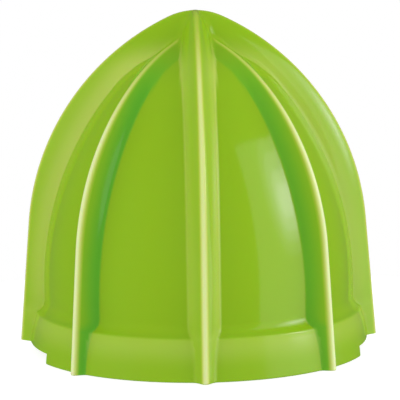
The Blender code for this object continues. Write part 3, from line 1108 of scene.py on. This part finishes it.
@dataclass(frozen=True)
class RibMarks:
    """Where a cone gets painted light on its ribs and skirt edge, painted shade at its minor ribs' roots, and
    low gloss.

    The first six fades run over shares of the main crest's height, minor_end of the minor crest's and the
    skirt's of its own. line_depth and line_aside run over widths of the rib's line, and the rest over metres.
    """

    # The fades set where the crests' painted highlight, the painted light on the main ribs' flanks and the
    # skirt edge, and the painted shade at the minor ribs' roots lie and how strong they are.
    line_width: Fade = Fade(0.3, 0.95, 1.0, 0.78)
    line_end: Fade = Fade(0.8, 1.0, 1.0, 0.3)
    main_line: Fade = Fade(0.25, 0.62, 0.88, 0.78)
    flank_rise: Fade = Fade(0.25, 0.62, 0.76, 1.1)
    flank_end: Fade = Fade(0.84, 0.94, 1.0, 0.0)
    painted_shade_end: Fade = Fade(0.76, 0.9, 1.0, 0.4)
    minor_end: Fade = Fade(0.68, 0.94, 1.0, 0.5)
    painted_skirt_highlight: Fade = Fade(0.3, 0.95, 0.0, 0.45)
    skirt_satin: Fade = Fade(0.8, 1.0, 1.0, 0.0)
    line_depth: Fade = Fade(1.0, 3.0, 1.0, 0.0)
    line_aside: Fade = Fade(0.3, 1.6, 1.0, 0.0)
    on_skin: Fade = Fade(-0.0006, -0.0001, 0.0, 1.0)
    clear_of_main: Fade = Fade(0.0004, 0.0012, 0.0, 1.0)
    off_body: Fade = Fade(0.0, 0.0001, 0.0, 1.0)
    flank_root: Fade = Fade(0.0006, 0.0046, 1.0, 0.25)
    painted_shade_root: Fade = Fade(0.0006, 0.0046, 1.0, 0.2)
    nearer_main: Fade = Fade(-0.0001, 0.0001, 0.0, 1.0)
    skin_of_body: float = 0.0005
    flank_foot: float = 0.25
    flank_foot_from: float = 0.4
    flank_foot_to: float = 1.3
    flank_before: float = 0.6
    painted_shade_before: float = 0.8

    def put_on(self, piece: Piece, cone: ConeShell) -> None:
        """Mark a cone.

        Args:
            piece: The finished cone.
            cone: Its sizes.
        """
        form, skirt = cone.form, cone.form.skirt
        places = corners_of(piece)
        azimuth = np.arctan2(places[:, 1], places[:, 0]) - cone.turn
        radius, height = np.hypot(places[:, 0], places[:, 1]), places[:, 2]
        folded = fold(azimuth)
        after_main = (azimuth + EIGHTH_TURN) % QUARTER_TURN > EIGHTH_TURN
        after_minor = azimuth % QUARTER_TURN > EIGHTH_TURN
        stand_off = form.body(radius, height)
        on_skin = self.on_skin.at(form.distance(radius, azimuth, height))
        on_body = on_skin * (stand_off < self.skin_of_body)
        up, up_skirt = height / form.main_crest.top, height / skirt.height
        # Each rib's crest mark: a painted highlight along a narrow line on its nose, fading towards the tip.
        skins, lines = [], []
        for outline, rib, angle in (
            (form.main_crest, form.main_rib, folded),
            (form.minor_crest, form.minor_rib, EIGHTH_TURN - folded),
        ):
            at, aside = radius * np.cos(angle), np.abs(radius * np.sin(angle))
            skins.append(form.rib_distance(outline, rib, at, aside, height))
            depth = self.line_depth.at(outline.locate(at, height)[0] / rib.line)
            lines.append(depth * self.line_aside.at(aside / self.line_width.at(up) / rib.line))
        lines[0] *= self.main_line.at(up)
        lines[1] *= self.clear_of_main.at(skins[0]) * self.minor_end.at(height / form.minor_crest.top)
        crest = np.maximum(*lines) * self.line_end.at(up)
        # Painted light on the main ribs' flanks: strongest at the roots, weaker on the side before each main
        # rib and near the foot, fading out at the tip.
        on_main = self.nearer_main.at(np.abs(skins[1]) - np.abs(skins[0]))
        on_rib = self.off_body.at(stand_off) * self.flank_end.at(up) * on_skin
        foot = Fade(self.flank_foot_from * skirt.height, self.flank_foot_to * skirt.top, self.flank_foot, 1.0)
        painted_light = on_main * self.flank_root.at(stand_off) * np.where(after_main, 1.0, self.flank_before)
        painted_light = painted_light * foot.at(height) * self.flank_rise.at(up) * on_rib
        # Painted highlight along the skirt's top edge, fading down the band.
        edge = Fade(skirt.height, skirt.height + skirt.shoulder_round, 1.0, 0.0)
        painted_skirt_highlight = self.painted_skirt_highlight.at(up_skirt) * edge.at(height) * on_body
        # Painted shade on the minor ribs' flanks near their roots, lighter on the side before each minor rib
        # and towards the tip.
        deep = (1 - on_main) * self.painted_shade_root.at(stand_off) * np.where(after_minor, 1.0, self.painted_shade_before)
        mark(piece, "crest", crest * on_skin)
        mark(piece, "painted_light", np.maximum(painted_light, painted_skirt_highlight))
        mark(piece, "deep", deep * self.painted_shade_end.at(up) * on_rib)
        mark(piece, "satin", self.skirt_satin.at(up_skirt) * on_body)


# The studio


def direction(azimuth: float, elevation: float) -> Vector:
    """The way from the object at an azimuth, from the front to the right, and an elevation in degrees."""
    turn, rise = math.radians(azimuth), math.radians(elevation)
    return Vector((math.sin(turn) * math.cos(rise), -math.cos(turn) * math.cos(rise), math.sin(rise)))


class LampShape(Enum):
    """Outlines of a lamp."""

    PANEL = "RECTANGLE"
    OVAL = "ELLIPSE"

    @property
    def fill(self) -> float:
        """Share of its square that the outline fills."""
        return 1.0 if self is LampShape.PANEL else math.pi / 4


COOL = (1.0, 0.86, 1.08)


@dataclass(frozen=True)
class Lamp:
    """A soft lamp that faces the object, or another azimuth. Its place is given in degrees and metres."""

    name: str
    azimuth: float
    elevation: float
    distance: float
    width: float
    height: float
    radiance: float
    in_gloss: bool = True
    facing: float | None = None
    shape: LampShape = LampShape.PANEL
    tint: Triple = (1.0, 1.0, 1.0)

    def hang(self, target: Vector) -> None:
        """Hang the lamp.

        Args:
            target: The point that it lights.
        """
        way = direction(self.azimuth, self.elevation)
        lamp = bpy.data.lights.new(self.name, "AREA")
        lamp.shape = self.shape.value
        lamp.color = self.tint
        lamp.size, lamp.size_y = self.width, self.height
        lamp.energy = self.radiance * math.pi * self.width * self.height * self.shape.fill
        holder = bpy.data.objects.new(self.name, lamp)
        bpy.context.scene.collection.objects.link(holder)
        holder.location = target + way * self.distance
        front = way if self.facing is None else direction(self.facing, 0.0)
        holder.rotation_euler = front.to_track_quat("Z", "Y").to_euler()
        holder.visible_glossy = self.in_gloss
        holder.visible_camera = False


@dataclass(frozen=True)
class Studio:
    """The camera, the lamps, the pale floor and the backdrop. Angles are in degrees, the focal length in mm."""

    target: Vector = Vector((0.0, 0.0, 0.04))
    distance: float = 0.6886
    azimuth: float = -1.946
    elevation: float = 8.7
    roll: float = 0.646
    aim_right: float = 0.00063
    aim_down: float = 0.0048
    focal: float = 263.5
    room_light: float = 0.6
    gloss_light: float = 0.12
    floor_radius: float = 0.10
    floor_sides: int = 64
    floor_gap: float = 0.0002
    floor_paper: float = 0.35
    floor_glow: float = 0.85
    lamps: tuple[Lamp, ...] = (
        Lamp("right_panel", 84.5, 11.6, 0.837, 1.10, 0.86, 0.8, facing=42.0),
        Lamp("right_glow", 73.0, 21.0, 0.82, 0.42, 0.56, 0.6, shape=LampShape.OVAL),
        Lamp("right_bright", 73.0, 20.5, 0.81, 0.30, 0.42, 1.0, shape=LampShape.OVAL, tint=COOL),
        Lamp("right_core", 73.0, 19.0, 0.80, 0.19, 0.28, 1.5, shape=LampShape.OVAL, tint=COOL),
        Lamp("right_heart", 73.0, 19.0, 0.79, 0.10, 0.15, 1.8, shape=LampShape.OVAL, tint=COOL),
        Lamp("left_panel", -72.0, 3.0, 0.8, 0.8, 0.9, 1.23, False),
        Lamp("right_fill", 88.0, 0.0, 0.9, 0.8, 0.8, 0.52, False),
        Lamp("front_fill", -4.0, 25.0, 1.0, 1.2, 0.7, 1.18, False),
        Lamp("top_fill", 0.0, 88.0, 1.0, 1.2, 1.2, 0.14, False),
        Lamp("back_left", -150.0, 25.0, 0.9, 0.7, 0.7, 0.8, False),
        Lamp("back_right", 150.0, 25.0, 0.9, 0.7, 0.7, 0.6, False),
    )

    def camera(self) -> None:
        """Put the camera where the photograph was taken from."""
        back = direction(self.azimuth, self.elevation)
        right = Vector((0.0, 0.0, 1.0)).cross(back).normalized()
        up = back.cross(right)
        spot = self.target + back * self.distance
        aim = self.target + right * self.aim_right - up * self.aim_down
        look = (spot - aim).normalized()
        camera = bpy.data.cameras.new("camera")
        camera.lens = self.focal
        camera.sensor_width = 36.0
        holder = bpy.data.objects.new("camera", camera)
        bpy.context.scene.collection.objects.link(holder)
        level = look.to_track_quat("Z", "Y").to_matrix().to_4x4()
        roll = Matrix.Rotation(-math.radians(self.roll), 4, "Z")
        holder.matrix_world = Matrix.Translation(spot) @ level @ roll
        bpy.context.scene.camera = holder

    def world(self) -> None:
        """Light the room evenly, and show white to the camera."""
        world = bpy.data.worlds.new("room")
        bpy.context.scene.world = world
        world.use_nodes = True
        nodes = Nodes(world.node_tree)
        surface = nodes.add("ShaderNodeBackground", None, {"Color": WHITE, "Strength": self.room_light})
        rays = (("Is Glossy Ray", self.gloss_light), ("Is Transmission Ray", 1.0), ("Is Camera Ray", 1.0))
        for ray, strength in rays:
            share = nodes.add("ShaderNodeLightPath", out=ray)
            light = nodes.add("ShaderNodeBackground", None, {"Color": WHITE, "Strength": strength})
            surface = nodes.add("ShaderNodeMixShader", None, {0: share, 1: surface, 2: light})
        nodes.add("ShaderNodeOutputWorld", None, {"Surface": surface})

    def floor(self) -> None:
        """Lay the pale floor, which keeps a faint shadow, is clear from below and hides no light."""
        deselect()
        spot = (0.0, 0.0, -self.floor_gap)
        bpy.ops.mesh.primitive_circle_add(
            vertices=self.floor_sides, radius=self.floor_radius, fill_type="NGON", location=spot
        )
        floor = added("floor")
        recipe = Recipe("floor_white")
        paper = recipe.add("ShaderNodeBsdfDiffuse", None, {"Color": (*[self.floor_paper] * 3, 1.0)})
        glow = recipe.add("ShaderNodeEmission", None, {"Color": WHITE, "Strength": self.floor_glow})
        seen = recipe.add("ShaderNodeAddShader", None, {0: paper, 1: glow})
        from_below = recipe.add("ShaderNodeNewGeometry", out="Backfacing")
        clear = recipe.add("ShaderNodeBsdfTransparent")
        coat(floor, recipe.output(recipe.add("ShaderNodeMixShader", None, {0: from_below, 1: seen, 2: clear})))
        floor.visible_diffuse = floor.visible_glossy = False
        floor.visible_transmission = floor.visible_shadow = False

    def build(self) -> None:
        """Set the studio up."""
        self.camera()
        self.world()
        self.floor()
        for lamp in self.lamps:
            lamp.hang(self.target)


# The parts


LIME = MouldedPlastic(
    name="lime_gloss",
    colour=(0.265, 0.463, 0.010),
    flow_and_painted_shade_colour=(0.115, 0.43, 0.022),
    roughness=0.10,
    waviness=0.10,
    glow=0.2,
)
PALE_GREY = MouldedPlastic(
    name="pale_grey_satin",
    colour=(0.62, 0.63, 0.62),
    flow_and_painted_shade_colour=(0.52, 0.53, 0.52),
    roughness=0.35,
    waviness=0.25,
    glow=0.0,
    marks=False,
)
LARGE_FORM = RibbedForm(
    main_crest=Ogive(foot_radius=0.0423, draft=DRAFT, arc_start=0.0306, top=0.080, tip_radius=0.0148),
    minor_crest=Ogive(
        foot_radius=0.0425, draft=math.radians(4.7), arc_start=0.0282, top=0.075, tip_radius=0.0078
    ),
    panel=Ogive(foot_radius=0.0364, draft=0.0, arc_start=0.016, top=0.0722, tip_radius=0.025),
    skirt=Skirt(
        height=0.0092, step=0.002, flare=0.0016, bulge=0.00025, shoulder_round=0.0008, shoulder_fillet=0.0035
    ),
    main_rib=Rib(nose_radius=0.0011, root_half_width=0.0036, line=0.0007, flank_radius=0.0115),
    minor_rib=Rib(nose_radius=0.0011, root_half_width=0.00305, line=0.0008),
    tip_fillet=0.0015,
    rim_round=0.0004,
)
SMALL_FORM = RibbedForm(
    main_crest=SMALL_CREST,
    minor_crest=Ogive(foot_radius=0.0284, draft=DRAFT, arc_start=0.018, top=0.0518, tip_radius=0.0085),
    panel=SMALL_PANEL,
    skirt=Skirt(
        height=0.007, step=0.0014, flare=0.0008, bulge=0.0001, shoulder_round=0.0006, shoulder_fillet=0.0010
    ),
    main_rib=Rib(nose_radius=0.0006, root_half_width=0.0024),
    minor_rib=Rib(nose_radius=0.0006, root_half_width=0.0024),
    tip_fillet=0.0009,
    rim_round=0.0003,
)


def hand_over(piece: Piece, node: str, body: Body) -> None:
    """Put a piece in a node's place and log it.

    Args:
        piece: The finished piece.
        node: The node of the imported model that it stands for.
        body: The body that it rides on.
    """
    settle(piece)
    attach(piece, body.value)
    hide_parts(node)
    log.info("%s: %d faces, stands for %s", piece.name, len(piece.data.polygons), node)


def main() -> None:
    """Build the studio and the three mouldings."""
    logging.basicConfig(level=logging.INFO, format="%(name)s: %(message)s")
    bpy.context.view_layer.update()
    Studio().build()
    lime, grey = LIME.material(), PALE_GREY.material()
    large = LargeCone("large_cone_moulding", LARGE_FORM, wall=0.002)
    small = SmallCone("small_cone_moulding", SMALL_FORM, wall=0.0018, turn=HALF_PITCH, inner_top=0.044)
    small.half_sector = (1, 1, 1, 3, 4, 3)
    for part, node, body, material, slot in (
        (large, "large_cone", Body.OUTER, lime, "lime_plastic"),
        (small, "small_cone", Body.INNER, lime, "lime_plastic"),
        (DriveBush(), "drive_bush", Body.INNER, grey, "pale_grey_plastic"),
    ):
        piece = part.build()
        part.dress(piece, material)
        hand_over(piece, node, body)
    bpy.context.scene.view_settings.view_transform = "Standard"


if __name__ == "__main__":
    main()
